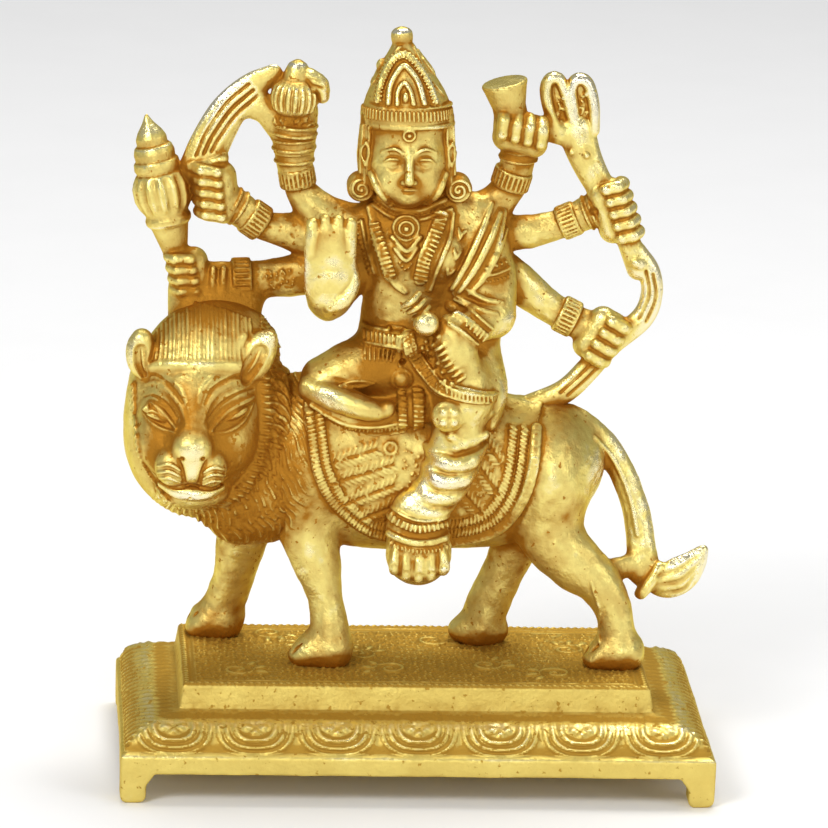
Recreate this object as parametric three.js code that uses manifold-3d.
// A small cast brass figure of Durga: the eight-armed goddess sits side-saddle on her lion, one casting,
// which stands on a separate hollow plinth with a lotus-petal moulding and four corner feet.
// Millimetres, +Z up, the viewer looks along +Y. The origin is under the middle of the plinth.
import * as THREE from "three";
import { mergeVertices } from "three/addons/utils/BufferGeometryUtils.js";
import Module from "manifold-3d";

const wasm = await Module();
wasm.setup();

// Plinth
const PLINTH_WIDTH = 100;
const PLINTH_DEPTH = 56;
const FOOT_HEIGHT = 5;
const FOOT_WIDTH = 4.4;
const FOOT_FLAT = 1.2;
const FOOT_FLARE = 1.6;
const BAND_HEIGHT = 3.4;
const LEDGE = 1.2;
const MOULDING_HEIGHT = 4.9;
const SLAB_HEIGHT = 4.2;
const SLAB_INSET = 10.5;
const SLAB_BATTER = 0.7;
const WALL = 2.2;
const PETALS = 7;
const PETAL_RIDGE = 0.55;
const DECK_RIDGE = 0.45;

// Casting
const CASTING_HEIGHT = 109.5;
const SEAT_CLEARANCE = 0.02;
const LION_LOCKS = 10;
const LEG_FOLDS = 5;
const TOES = 5;

const BAND_TOP = FOOT_HEIGHT + BAND_HEIGHT;
const MOULDING_TOP = BAND_TOP + MOULDING_HEIGHT;
const DECK = MOULDING_TOP + SLAB_HEIGHT;

// Every place and radius in the casting is in hundredths of its height, from the middle of the deck.
const UNIT = CASTING_HEIGHT / 100;
const DEPTH_AXIS = new THREE.Vector3(0, 1, 0);
const HEIGHT_AXIS = new THREE.Vector3(0, 0, 1);

function solid(geometry) {
  const bare = new THREE.BufferGeometry();
  bare.setAttribute("position", geometry.getAttribute("position"));
  if (geometry.index) bare.setIndex(geometry.index);
  const merged = mergeVertices(bare, 1e-4);
  const triVerts = new Uint32Array(merged.index.array);
  const vertProperties = new Float32Array(merged.attributes.position.array);
  return new wasm.Manifold(new wasm.Mesh({ numProp: 3, vertProperties, triVerts }));
}

function meshOf(name, shape, material) {
  const { vertProperties, triVerts } = shape.getMesh();
  const geometry = new THREE.BufferGeometry();
  geometry.setAttribute("position", new THREE.BufferAttribute(vertProperties, 3));
  geometry.setIndex(new THREE.BufferAttribute(triVerts, 1));
  geometry.computeVertexNormals();
  const mesh = new THREE.Mesh(geometry, material);
  mesh.name = name;
  return mesh;
}

const join = (...shapes) => wasm.Manifold.union(shapes.flat());

// A closed bar through stations [x, y, z, half width, half depth]. Its depth runs along `axis`, and each end
// closes to a point, `round` radii further on.
function limb(stations, { sides = 6, round = 0.7, axis = DEPTH_AXIS } = {}) {
  const centres = stations.map(([x, y, z]) => new THREE.Vector3(x, y, z));
  const last = stations.length - 1;
  const tangentAt = (i) => {
    const ahead = centres[Math.min(i + 1, last)].clone();
    return ahead.sub(centres[Math.max(i - 1, 0)]).normalize();
  };
  const ringAt = (i) => {
    const [, , , wide, deep] = stations[i];
    const tangent = tangentAt(i);
    const depth = axis.clone().addScaledVector(tangent, -axis.dot(tangent)).normalize();
    const width = new THREE.Vector3().crossVectors(depth, tangent);
    return Array.from({ length: sides }, (_, k) => {
      const angle = (2 * Math.PI * (k + 0.5)) / sides;
      const point = centres[i].clone().addScaledVector(width, wide * Math.cos(angle));
      return point.addScaledVector(depth, deep * Math.sin(angle));
    });
  };
  const tip = (i, way) => {
    const reach = way * round * Math.min(stations[i][3], stations[i][4]);
    return centres[i].clone().addScaledVector(tangentAt(i), reach);
  };
  return lofted(stations.map((_, i) => ringAt(i)), tip(0, -1), tip(last, 1));
}

// A closed solid from rings of equally many points, closed by a point or a fan at each end.
function lofted(rings, start, end) {
  const sides = rings[0].length;
  const points = [start, ...rings.flat(), end];
  const index = [];
  const at = (ring, k) => 1 + ring * sides + (k % sides);
  for (let k = 0; k < sides; k++) {
    index.push(0, at(0, k + 1), at(0, k));
    index.push(points.length - 1, at(rings.length - 1, k), at(rings.length - 1, k + 1));
    for (let r = 0; r < rings.length - 1; r++) {
      index.push(at(r, k), at(r, k + 1), at(r + 1, k + 1));
      index.push(at(r, k), at(r + 1, k + 1), at(r + 1, k));
    }
  }
  const geometry = new THREE.BufferGeometry().setFromPoints(points);
  geometry.setIndex(index);
  const made = solid(geometry);
  if (made.volume() > 0) return made;
  geometry.setIndex(index.reverse());
  return solid(geometry);
}

// An ellipsoid with its middle at [x, y, z], turned about Y by `lean` degrees. Without `cols` it is a bead of
// twenty faces.
function ball([x, y, z], [rx, ry, rz], { lean = 0, cols = 0, rows = 5 } = {}) {
  const geometry = cols ? new THREE.SphereGeometry(1, cols, rows) : new THREE.IcosahedronGeometry(1);
  geometry.scale(rx, rz, ry);
  geometry.rotateX(Math.PI / 2);
  geometry.rotateY(THREE.MathUtils.degToRad(lean));
  geometry.translate(x, y, z);
  return solid(geometry);
}

// A turned form on the line from `foot` to `tip`. The profile holds [radius, share of the way].
function turned(profile, foot, tip, { cols = 8 } = {}) {
  const from = new THREE.Vector3(...foot);
  const way = new THREE.Vector3(...tip).sub(from);
  const outline = profile.map(([radius, share]) => new THREE.Vector2(radius, share * way.length()));
  const ends = [new THREE.Vector2(0, outline[0].y), new THREE.Vector2(0, outline.at(-1).y)];
  const geometry = new THREE.LatheGeometry([ends[0], ...outline, ends[1]], cols);
  const turn = new THREE.Quaternion().setFromUnitVectors(DEPTH_AXIS, way.normalize());
  geometry.applyQuaternion(turn);
  geometry.translate(from.x, from.y, from.z);
  return solid(geometry);
}

// Stations of an arm with a bangle on it: a swelling between stations i and i + 1, `half` to each side of
// its middle.
function withBangle(stations, i, share, half = 1) {
  const [before, next] = [stations[i], stations[i + 1]];
  const length = Math.hypot(...[0, 1, 2].map((n) => next[n] - before[n]));
  const between = (way, swell) => {
    const at = share + (way * half) / length;
    const station = before.map((value, n) => value + (next[n] - value) * at);
    return [...station.slice(0, 3), station[3] * swell, station[4] * swell];
  };
  const swelling = [between(-1, 1), between(0, 1.3), between(1, 1)];
  return [...stations.slice(0, i + 1), ...swelling, ...stations.slice(i + 1)];
}

// A bar from one station to another that swells `count` times on the way, as folds, knuckles or strands do.
function ridged(from, to, count, { notch = 0.8, bow = [0, 0, 0], ...shape } = {}) {
  const stations = [];
  const last = 2 * count;
  for (let i = 1; i < last; i++) {
    const share = (i - 0.5) / (last - 1);
    const bend = Math.sin(Math.PI * share);
    const size = i % 2 ? 1 : notch;
    const station = from.map((value, n) => value + (to[n] - value) * share + (bow[n] ?? 0) * bend);
    stations.push([...station.slice(0, 3), station[3] * size, station[4] * size]);
  }
  return limb(stations, shape);
}

const deg = THREE.MathUtils.degToRad;

// The lion

const BODY = [
  [-25, 2.5, 33.5, 9, 8],
  [-17, 2.5, 32.6, 12.6, 9.4],
  [-7.5, 2.5, 31.2, 14, 9.4],
  [4, 2.5, 30.2, 13, 8.8],
  [13, 2.5, 29.6, 11.8, 8.4],
  [21, 2.5, 31, 8.8, 7.6],
];

// A place on the near side of the body, `proud` of it.
function onBody(x, z, proud = 0) {
  const after = Math.min(Math.max(BODY.findIndex((station) => station[0] > x), 1), BODY.length - 1);
  const [before, next] = [BODY[after - 1], BODY[after]];
  const share = (x - before[0]) / (next[0] - before[0]);
  const [, y, middle, high, deep] = before.map((value, n) => value + (next[n] - value) * share);
  const rise = Math.min(Math.abs(z - middle) / high, 0.98);
  return [x, y - (deep + proud) * Math.sqrt(1 - rise * rise), z];
}

function paw(x, y, reach) {
  const heel = limb([[x + 3.4, y, 2, 2.6, 3], [x - 0.6, y, 2.4, 3, 3.4]]);
  const front = x - reach + 1.6;
  const toes = ridged([front, y - 3.5, 1.8, 2.3, 1.9], [front, y + 3.5, 1.8, 2.3, 1.9], 3,
    { sides: 5, axis: HEIGHT_AXIS, notch: 0.86 });
  return [heel, toes];
}

function legs() {
  const nearFore = limb([[-18, -0.6, 28, 6, 5], [-15.8, -2, 17, 4, 3.8], [-13.8, -3.4, 10.5, 2.9, 2.9],
    [-13.2, -3.7, 4, 3.2, 3.2]]);
  const farFore = limb([[-25.6, 5.5, 24, 4.6, 4.4], [-26.8, 7.5, 15, 3.7, 3.5], [-28, 9.8, 8, 3.4, 3.2],
    [-29.6, 10.8, 3, 3, 3.2]]);
  const haunch = ball([20, 0.6, 28.4], [5.4, 7, 9.6], { cols: 8 });
  const nearHind = limb([[21, -0.8, 24.6, 5.6, 5], [22, -1.8, 19.6, 4.9, 4.4], [26, -2.6, 15.6, 4, 3.7],
    [30, -3.4, 11.6, 2.9, 3], [31.8, -3.8, 4, 2.9, 3.1]]);
  const farHind = limb([[18.4, 5, 23, 4.8, 4.6], [16, 7.4, 14, 3.6, 3.5], [13.4, 8, 8, 3.5, 3.4],
    [11.6, 8, 3.4, 3.3, 3.3]]);
  const paws = [paw(-14.4, -4, 4.8), paw(-30.4, 10.8, 3.6), paw(31.4, -4.2, 5), paw(10.8, 8, 3.8)];
  return [nearFore, farFore, haunch, nearHind, farHind, ...paws.flat()];
}

function tail() {
  const bar = limb([[20, 2.5, 38, 2.6, 2.4], [27, 3, 36, 2.1, 2], [32.4, 3.3, 29.4, 2.1, 1.8],
    [35, 2, 20.6, 1.9, 1.7], [36.2, -0.6, 13.4, 1.9, 1.7]]);
  const tie = limb([[31, -2.8, 14.6, 2, 2], [37.4, -0.6, 13.2, 1.9, 1.6]], { sides: 5 });
  const tuft = limb([[37, -0.6, 13.2, 2, 1.4], [41.4, -0.6, 14.4, 3.5, 1.5], [44.2, -0.6, 16.6, 1.9, 0.9]]);
  return [bar, tie, tuft];
}

// The mane: a cap whose rim swells into locks.
function mane() {
  const round = 2 * LION_LOCKS;
  const ring = ([x, y, z], wide, high, swell) => Array.from({ length: round }, (_, k) => {
    const angle = (2 * Math.PI * k) / round;
    const size = 1 + (k % 2 ? -swell : swell);
    return new THREE.Vector3(x + wide * size * Math.cos(angle), y, z + high * size * Math.sin(angle));
  });
  const cap = [
    ring([-34, -6, 39.2], 10.2, 11.8, 0.03),
    ring([-33.9, -1.6, 38], 11.3, 15.1, 0.035),
    ring([-31.6, 4.6, 37.4], 10.6, 13.6, 0.02),
  ];
  const ruff = [
    ring([-27.6, -5.4, 33.4], 7.4, 10.6, 0.06),
    ring([-25.6, -1, 32.6], 9, 14, 0.05),
    ring([-24, 6, 33], 7.6, 12, 0.03),
  ];
  return [
    lofted(cap, new THREE.Vector3(-34, -7, 39.4), new THREE.Vector3(-29, 8.4, 37)),
    lofted(ruff, new THREE.Vector3(-28, -7, 34), new THREE.Vector3(-23, 10, 33)),
  ];
}

function lionHead() {
  const [x, y, z] = [-34.2, -6.2, 39.2];
  const nose = x - 1.3;
  const parts = [
    ...mane(),
    ball([x, y, z], [9.6, 5.4, 10.8], { cols: 9, rows: 6 }),
    ball([nose, y - 4, z - 3.6], [5.2, 4.4, 4.6], { cols: 7, rows: 4 }),
    ball([nose, y - 7.8, z - 0.9], [2.4, 1.5, 1.5]),
    limb([[nose, y - 4.6, z + 5, 1.3, 1.2], [nose, y - 7.2, z, 1.7, 1.4]], { sides: 4 }),
    limb([[nose - 3, y - 3.8, z - 8.6, 1.2, 1.4], [nose + 3, y - 3.8, z - 8.6, 1.2, 1.4]], { sides: 5 }),
    ridged([-42, -6.2, 49.8, 2, 2.6], [-26.4, -6.2, 50.2, 2, 2.6], 6,
      { sides: 4, bow: [0, 0, 1.6], notch: 0.76 }),
  ];
  for (const side of [-1, 1]) {
    parts.push(ball([nose + side * 3, y - 6.4, z - 4.6], [2.7, 2.2, 2.4]));
    parts.push(ball([x + 0.6 + side * 5.6, y - 4.4, z + 2.6], [2.7, 1, 1.1], { lean: -14 * side }));
    const brow = (across, rise, ridge) =>
      [x + 0.6 + side * across, y - 5.4 + 0.05 * across ** 2, z + rise, ridge, ridge];
    parts.push(limb([brow(2, 2.6, 0.6), brow(5, 5.8, 0.8), brow(8.2, 4.8, 0.5)], { sides: 4 }));
    parts.push(ear(side));
  }
  return parts;
}

function ear(side) {
  const [x, z] = side < 0 ? [-43.4, 50.2] : [-24.6, 49.6];
  const lobe = ball([x, -3.6, z], [2.4, 1.8, 3.4], { lean: 20 * side });
  const hollow = ball([x, -5.6, z], [1.2, 1.2, 2.1], { lean: 20 * side });
  return lobe.subtract(hollow);
}

// The corded border of the saddle cloth hangs from the back in one broad band.
function saddleBorder() {
  const drop = [];
  const steps = 7;
  for (let k = 0; k <= steps; k++) {
    const angle = Math.PI * (k / steps);
    const x = -0.2 - 16.2 * Math.cos(angle);
    const z = 38 - 18.2 * Math.sin(angle);
    drop.push([...onBody(x, z, 0.1), 2, 1]);
  }
  return limb(drop, { sides: 6 });
}

// The goddess

function torso() {
  return [
    limb([[-0.6, 2.5, 45, 10, 7.2], [-1, 2.5, 50, 7.4, 6], [-1.2, 2.4, 56.4, 6.3, 4.8], [-1, 2, 63, 8.2, 5.2],
      [-0.8, 2.6, 68.6, 9.6, 4.4]], { sides: 8, round: 0.5 }),
    limb([[-2, 2.6, 69, 3.4, 3.2], [-2.4, 2.2, 74, 3, 3]], { sides: 5 }),
    ball([-5, -2.2, 64.6], [3.2, 2.4, 3]),
    ball([2.6, -2.2, 64.6], [3.2, 2.4, 3]),
    turned([[1.8, 0], [1.8, 0.8]], [-2.9, 0, 69], [-2.9, -4.2, 68.4]),
    limb([[-7.3, -2, 68.4, 0.9, 0.8], [-6.2, -4.2, 65.4, 1, 0.8], [-4.6, -3.6, 61.6, 0.9, 0.8]], { sides: 4 }),
    limb([[2.4, -2, 70.6, 1, 0.8], [1, -4, 66, 1.1, 0.9], [-0.5, -3.4, 61.4, 1, 0.8]], { sides: 4 }),
    ...sash(),
    turned([[6.5, 0], [6.5, 1]], [-1.2, 2.3, 51.2], [-1.2, 2.3, 53.2], { cols: 8 }),
  ];
}

// Pleats that cross the chest from the shoulder on the right to the waist.
function sash() {
  const pleats = 3;
  return Array.from({ length: pleats }, (_, k) => {
    const apart = 2.2 * k;
    return limb([[5.4 + apart, -0.6 + 0.3 * k, 71.2 - 0.3 * k, 1, 0.9],
      [3.6 + apart, -3.2 + 0.5 * k, 66.2, 1.1, 1],
      [1.4 + 0.6 * apart, -3 + 0.3 * k, 59.4, 0.8, 0.8]], { sides: 4 });
  });
}

function head() {
  const parts = [
    ball([-2.7, 1.2, 79], [5.8, 5.6, 6.9], { cols: 9, rows: 6 }),
    ball([-2.7, 4, 78.4], [7.2, 4.4, 8.2], { cols: 7, rows: 4 }),
    limb([[-2.8, -3.8, 81.4, 0.7, 0.7], [-2.8, -5, 78.6, 0.95, 0.9]], { sides: 4 }),
    limb([[-4.2, -3.8, 76.2, 0.5, 0.5], [-2.8, -4.3, 75.8, 0.6, 0.6], [-1.4, -3.8, 76.2, 0.5, 0.5]],
      { sides: 4 }),
    ball([-2.8, -3.6, 73.6], [1.8, 1.4, 1.4]),
  ];
  for (const side of [-1, 1]) {
    const x = -2.8 + side * 2.5;
    parts.push(ball([x, -3.3, 80], [1.4, 0.9, 0.75]));
    const brow = [[x - side * 1.4, -3.7, 81.8, 0.4, 0.4], [x + side * 1.6, -2.9, 82, 0.4, 0.4]];
    parts.push(limb(brow, { sides: 4 }));
    const lobe = side < 0 ? -9.6 : 4.9;
    parts.push(turned([[2, 0], [2, 0.8]], [lobe, 2.6, 75], [lobe, -1.2, 75], { cols: 7 }));
    const strand = lobe - side * 1.5;
    parts.push(limb([[strand, 3, 84, 1.8, 2.6], [strand, 3, 76, 1.6, 2.4]], { sides: 4 }));
  }
  return parts;
}

function crown() {
  const profile = [[7.3, 0], [7.3, 0.1], [6.6, 0.26], [5.4, 0.43], [3.9, 0.57], [1.3, 0.8], [1.6, 0.9],
    [0.6, 1]];
  const cone = turned(profile, [-2.7, 2.6, 84.4], [-4.2, 2.6, 100], { cols: 8 });
  const band = limb([[-9.6, 2.6, 86, 0.9, 0.9], [-7, -2.4, 87.2, 0.9, 0.9], [-2.6, -4.4, 88, 0.9, 0.9],
    [2.2, -2.6, 87.6, 0.9, 0.9], [4.2, 2.6, 86.6, 0.9, 0.9]], { sides: 5, axis: HEIGHT_AXIS });
  const arch = limb([[-6.7, -2.4, 88.8, 0.7, 0.7], [-5.9, -2, 91, 0.7, 0.7], [-3.5, -0.6, 94.2, 0.6, 0.6],
    [-0.6, -2.2, 91.2, 0.7, 0.7], [0.7, -2.7, 89.2, 0.7, 0.7]], { sides: 4 });
  return [cone, band, arch, ball([-3, -3.3, 89.8], [1.2, 1.1, 1.9])];
}

// A closed hand: four knuckles in a row, `turn` degrees from upright about Y.
function fist([x, y, z], turn, size = 1) {
  const along = [3.3 * size * Math.sin(deg(turn)), 0, 3.3 * size * Math.cos(deg(turn))];
  const end = (way) => [x + way * along[0], y, z + way * along[2], 2.5 * size, 2.7 * size];
  return ridged(end(-1), end(1), 4, { sides: 4, notch: 0.84, round: 0.3 });
}

function armsLeft() {
  return [
    // the arm that reaches to the point of the sword
    limb(withBangle([[-9.5, 3.6, 68.5, 3.2, 3], [-15.6, 4.2, 69, 2.8, 2.6],
      [-19.2, 4.2, 74, 2.4, 2.3], [-20, 3.8, 85, 3.5, 2.4]], 2, 0.2)),
    fist([-19.6, 3.2, 89], 90, 1.1),
    turned([[2.2, 0], [1.6, 0.5], [0.3, 1]], [-19.6, 3, 91], [-19.6, 3, 94.6], { cols: 6 }),
    // the arm that holds the sword
    limb(withBangle([[-9.5, 3.8, 66.5, 3.2, 3], [-20, 4.5, 66.8, 2.6, 2.4],
      [-32, 3.6, 73.2, 2.6, 2.3]], 1, 0.5)),
    fist([-33, 3.2, 74.4], 12, 1),
    // the arm that holds the mace
    limb(withBangle([[-9.5, 3.8, 63, 3.2, 3], [-20, 4.4, 60, 2.9, 2.4],
      [-35.8, 3.8, 59.2, 2.8, 2.4]], 1, 0.5)),
    fist([-36.6, 3.2, 59.6], -12, 1),
    ...blessingHand(),
  ];
}

// The open hand, palm to the viewer, on a forearm that comes forward.
function blessingHand() {
  const palm = limb([[-14.6, -4.8, 58.6, 3.2, 2], [-14.6, -6, 62, 3.9, 1.7], [-14.6, -6.2, 66.6, 3.7, 1.5]]);
  const fingers = ridged([-18.6, -6.3, 67.8, 3.4, 1.4], [-10.6, -6.3, 67.8, 3.4, 1.4], 4,
    { bow: [0, -0.2, 0.8], notch: 0.82, round: 0.2 });
  const thumb = limb([[-11.6, -5.6, 60.6, 1, 1.2], [-10.8, -6.2, 65, 0.8, 1]], { sides: 4 });
  const forearm = limb([[-8, 2.6, 64, 3.2, 3], [-13.4, 0.4, 59, 3.4, 3.4], [-14.6, -3.6, 58.4, 3.2, 2.6]]);
  return [palm, fingers, thumb, forearm];
}

function armsRight() {
  return [
    // the arm that holds the shell
    limb(withBangle([[6, 3.8, 69, 3.2, 3], [10.8, 4.2, 71.4, 2.8, 2.5],
      [13.4, 3.9, 75, 2.6, 2.2], [14.4, 3, 85, 3, 2.4]], 2, 0.15)),
    fist([15.6, 2.8, 84.4], 80, 0.9),
    turned([[2.2, 0], [2, 0.55], [3.1, 0.85], [3.4, 1]], [14, 2.6, 82], [11.8, 2.2, 91.6], { cols: 8 }),
    // the arm that holds the trident
    limb(withBangle([[7.5, 4, 67.6, 3.2, 3], [18, 4.5, 67.8, 2.5, 2.3],
      [29, 3.2, 72.2, 2.5, 2.2]], 1, 0.4)),
    fist([30.2, 2.6, 72.4], -14, 1),
    // the arm that holds the bow
    limb(withBangle([[8, 4, 63.6, 3.4, 3], [17.6, 4.5, 57.4, 2.7, 2.4],
      [26.8, 3.6, 52.2, 2.7, 2.3]], 1, 0.5)),
    fist([29, 2.8, 51.6], -32, 1),
    ...dishArm(),
  ];
}

// The arm across the lap, with a small heaped dish.
function dishArm() {
  return [
    limb([[8.4, 2.4, 67, 4, 3.4], [10.6, 1, 61, 3.8, 3.4], [11, -1.6, 55.4, 3.2, 3]]),
    limb(withBangle([[11, -2.2, 55.4, 3, 2.8], [1.4, -7.2, 58, 2.2, 2],
      [-2.4, -7.8, 55.6, 1.4, 1.4]], 0, 0.5)),
    ball([-0.2, -8.4, 55.6], [1.7, 1.4, 1.6]),
    ball([4.6, -6, 52], [5, 3, 4.2], { lean: 24, cols: 7, rows: 4 }),
  ];
}

function weapons() {
  return [
    // mace
    turned([[1.6, 0], [1.6, 0.2], [3, 0.46], [3.2, 0.5], [4.1, 0.6], [4.1, 0.7], [3.3, 0.82], [2.4, 0.9],
      [0.2, 1]], [-35.4, 3.2, 52.4], [-42.9, 4.2, 85.2], { cols: 8 }),
    // the stem that joins the mace's foot to the lion's mane
    limb([[-36, 3.4, 57, 2.6, 2.2], [-35.4, 2.6, 51, 3.4, 3]], { sides: 5 }),
    // sword
    limb([[-34.4, 3.2, 77.6, 2.8, 1.2], [-31, 3.4, 84.2, 2.6, 0.9], [-26, 3.4, 90, 2, 0.8],
      [-21.6, 3.4, 92.4, 1, 0.6]], { sides: 4, round: 0.3 }),
    limb([[-36, 3.2, 78.2, 0.9, 1.5], [-30.4, 3.2, 79.4, 0.9, 1.5]], { sides: 4 }),
    // trident
    limb([[24.8, 3.2, 82, 2, 1.6], [29.8, 2.8, 71.8, 1.7, 1.5], [33.4, 2.6, 62.6, 1.8, 1.3]], { sides: 5 }),
    limb([[24.6, 3.2, 82.4, 1.6, 1.3], [22.4, 3.2, 86.2, 1.3, 1.1], [20.4, 3.2, 91.6, 1, 0.9]], { sides: 4 }),
    limb([[24.6, 3.2, 82, 1.6, 1.2], [20.6, 3.2, 84.4, 1.3, 1.1], [18.4, 3.2, 88.2, 1, 0.9]], { sides: 4 }),
    limb([[24.8, 3.2, 82, 1.6, 1.2], [26.8, 3.2, 85.4, 1.3, 1.1], [24.4, 3.2, 91.2, 1, 0.9]], { sides: 4 }),
    // a web that joins the shell hand to the trident
    limb([[16.6, 2.8, 84.6, 1.8, 1.6], [21, 3, 83, 1.4, 1.4]], { sides: 4 }),
    // bow
    limb([[33.6, 2.6, 64.6, 1, 1], [35.7, 2.6, 59.4, 1.5, 1.2], [34.2, 2.6, 54.2, 1.6, 1.2],
      [28.8, 2.6, 49.6, 1.5, 1.2], [24.6, 2.7, 43.6, 1.6, 1.3], [18, 2.8, 39.4, 1.5, 1.6]], { sides: 5 }),
  ];
}

// The folded leg, the hanging leg with its ring folds, and the cloth between them.
function lap() {
  const hems = [0, 1.8].map((drop) => limb([[-15.6, -4.6, 40.2 - drop, 0.9, 1.2],
    [-10.6, -6.6, 38 - drop, 0.9, 1.3], [-4.2, -7.2, 38.8 - drop, 0.9, 1.2]], { sides: 4 }));
  return [
    limb([[-2, 0.6, 47, 6, 5.6], [-9, -0.6, 46, 4.8, 5], [-15.2, -2.2, 44.4, 3.2, 4]], { sides: 8 }),
    limb([[-16.2, -3.4, 43, 2.4, 2.4], [-11, -6.4, 41.6, 2.4, 2.2], [-4, -7.8, 42.2, 1.6, 1.7]]),
    limb([[4, 1, 47.4, 7, 6], [6.4, -4.4, 45.6, 5.4, 4.8], [7, -7.2, 42.6, 4.6, 4.2]],
      { sides: 8, axis: HEIGHT_AXIS }),
    ball([4, -9.6, 41.6], [2.5, 2.1, 2.6]),
    limb([[9.6, 0, 49, 2.6, 4], [11.4, -2.4, 42.6, 2.4, 3.6], [10.4, -3.6, 37.4, 1.6, 2.4]], { sides: 5 }),
    limb([[-1.8, -5, 45, 1.1, 1.6], [-1.2, -7.6, 35.6, 0.8, 1.1]], { sides: 4 }),
    ridged([7.4, -7.4, 42.6, 4.8, 3.9], [-0.4, -8, 24.4, 4.2, 3.4], LEG_FOLDS, { sides: 7, bow: [2, 0, 0] }),
    ...hems,
    ...hangingFoot(),
  ];
}

function hangingFoot() {
  const toes = ridged([-5.4, -9.9, 17.2, 1.8, 1.2], [5.6, -9.9, 17.2, 1.8, 1.2], TOES,
    { sides: 5, bow: [0, 0, -0.9], notch: 0.78, round: 0.2 });
  return [
    turned([[4.8, 0], [5, 0.3], [4.4, 0.6], [4.4, 1]], [0, -7.6, 21.2], [-0.6, -7.8, 26.4]),
    limb([[-0.2, -7.6, 21.6, 4.8, 3.2], [0.4, -8.8, 18.2, 4.6, 2.6]], { sides: 7 }),
    toes,
  ];
}

function casting() {
  const whole = join(
    limb(BODY, { sides: 10, round: 0.5 }), legs(), tail(), lionHead(), saddleBorder(),
    torso(), head(), crown(), armsLeft(), armsRight(), weapons(), lap(),
  );
  const reach = 200;
  const below = new THREE.BoxGeometry(reach, reach, reach).translate(0, 0, -reach / 2);
  return whole.subtract(solid(below)).scale(UNIT).translate(0, 0, DECK + SEAT_CLEARANCE);
}

// The plinth

// A stack of rectangles: each level is [inset from the outer edge, height].
function stepped(levels) {
  const rings = levels.map(([inset, z]) => {
    const x = PLINTH_WIDTH / 2 - inset;
    const y = PLINTH_DEPTH / 2 - inset;
    return [[-x, -y], [x, -y], [x, y], [-x, y]].map(([px, py]) => new THREE.Vector3(px, py, z));
  });
  const middle = ([, z]) => new THREE.Vector3(0, 0, z);
  return lofted(rings, middle(levels[0]), middle(levels.at(-1)));
}

// The moulding is a quarter round: a point on it, at a share of the way from the ledge up to the slab.
function mouldingAt(share) {
  const angle = (share * Math.PI) / 2;
  const inset = LEDGE + (SLAB_INSET - SLAB_BATTER - LEDGE) * (1 - Math.cos(angle));
  return [inset, BAND_TOP + MOULDING_HEIGHT * Math.sin(angle)];
}

function plinthShell() {
  const steps = 3;
  const curve = Array.from({ length: steps + 1 }, (_, k) => mouldingAt(k / steps));
  const outer = stepped([[0, FOOT_HEIGHT], [0, BAND_TOP], ...curve, [SLAB_INSET, DECK]]);
  const hollow = stepped([
    [WALL, 0], [WALL, BAND_TOP - WALL], [SLAB_INSET + WALL, MOULDING_TOP - WALL],
    [SLAB_INSET + WALL, DECK - WALL],
  ]);
  return outer.subtract(hollow);
}

// A corner foot: a small flat between rounded edges, flared where it meets the band. The front left one is
// drawn, and the rest are its mirror images.
function foot(sideX, sideY) {
  const round = (FOOT_WIDTH - FOOT_FLAT) / 2;
  const top = FOOT_HEIGHT + BAND_HEIGHT / 2;
  const shape = new THREE.Shape();
  shape.moveTo(0, top);
  shape.lineTo(0, round);
  shape.absarc(round, round, round, Math.PI, 1.5 * Math.PI, false);
  shape.absarc(FOOT_WIDTH - round, round, round, 1.5 * Math.PI, 2 * Math.PI, false);
  shape.lineTo(FOOT_WIDTH + FOOT_FLARE, top);
  const options = { depth: FOOT_WIDTH, bevelEnabled: false, curveSegments: 3 };
  const geometry = new THREE.ExtrudeGeometry(shape, options);
  geometry.rotateX(Math.PI / 2);
  geometry.translate(-PLINTH_WIDTH / 2, -PLINTH_DEPTH / 2 + FOOT_WIDTH, 0);
  return solid(geometry).scale([-sideX, -sideY, 1]);
}

// One lotus petal on the front moulding: a hanging lobe with a keel.
function petal(middle, wide) {
  const station = (share, half, proud) => {
    const [inset, z] = mouldingAt(share);
    return [middle, -PLINTH_DEPTH / 2 + inset, z, half, proud];
  };
  return limb([station(0.1, wide * 0.12, PETAL_RIDGE), station(0.3, wide * 0.38, PETAL_RIDGE * 1.6),
    station(0.6, wide * 0.47, PETAL_RIDGE * 2), station(0.94, wide * 0.45, PETAL_RIDGE)], { round: 0.2 });
}

function petals() {
  const span = PLINTH_WIDTH - 2 * SLAB_INSET;
  const wide = span / (PETALS - 1);
  return Array.from({ length: PETALS }, (_, k) => petal(-span / 2 + wide * k, wide));
}

// A corded edge around the top of the slab.
function deckCord() {
  const x = PLINTH_WIDTH / 2 - SLAB_INSET;
  const y = PLINTH_DEPTH / 2 - SLAB_INSET;
  const z = DECK - DECK_RIDGE;
  const corners = [[-x, -y], [x, -y], [x, y], [-x, y]];
  return corners.map(([fromX, fromY], k) => {
    const [toX, toY] = corners[(k + 1) % corners.length];
    return limb([[fromX, fromY, z, DECK_RIDGE, DECK_RIDGE], [toX, toY, z, DECK_RIDGE, DECK_RIDGE]],
      { sides: 4, axis: HEIGHT_AXIS });
  });
}

function plinth() {
  const feet = [[-1, -1], [1, -1], [1, 1], [-1, 1]].map(([sideX, sideY]) => foot(sideX, sideY));
  return join(plinthShell(), feet, petals(), deckCord());
}

const brass = new THREE.MeshStandardMaterial({ color: 0xc9a24a, roughness: 0.32, metalness: 1 });
const plinthBrass = new THREE.MeshStandardMaterial({ color: 0xc49c46, roughness: 0.35, metalness: 1 });

const part = new THREE.Group();
part.name = "durga_figure";
part.add(meshOf("durga_and_lion", casting(), brass));
part.add(meshOf("plinth", plinth(), plinthBrass));

export default part;
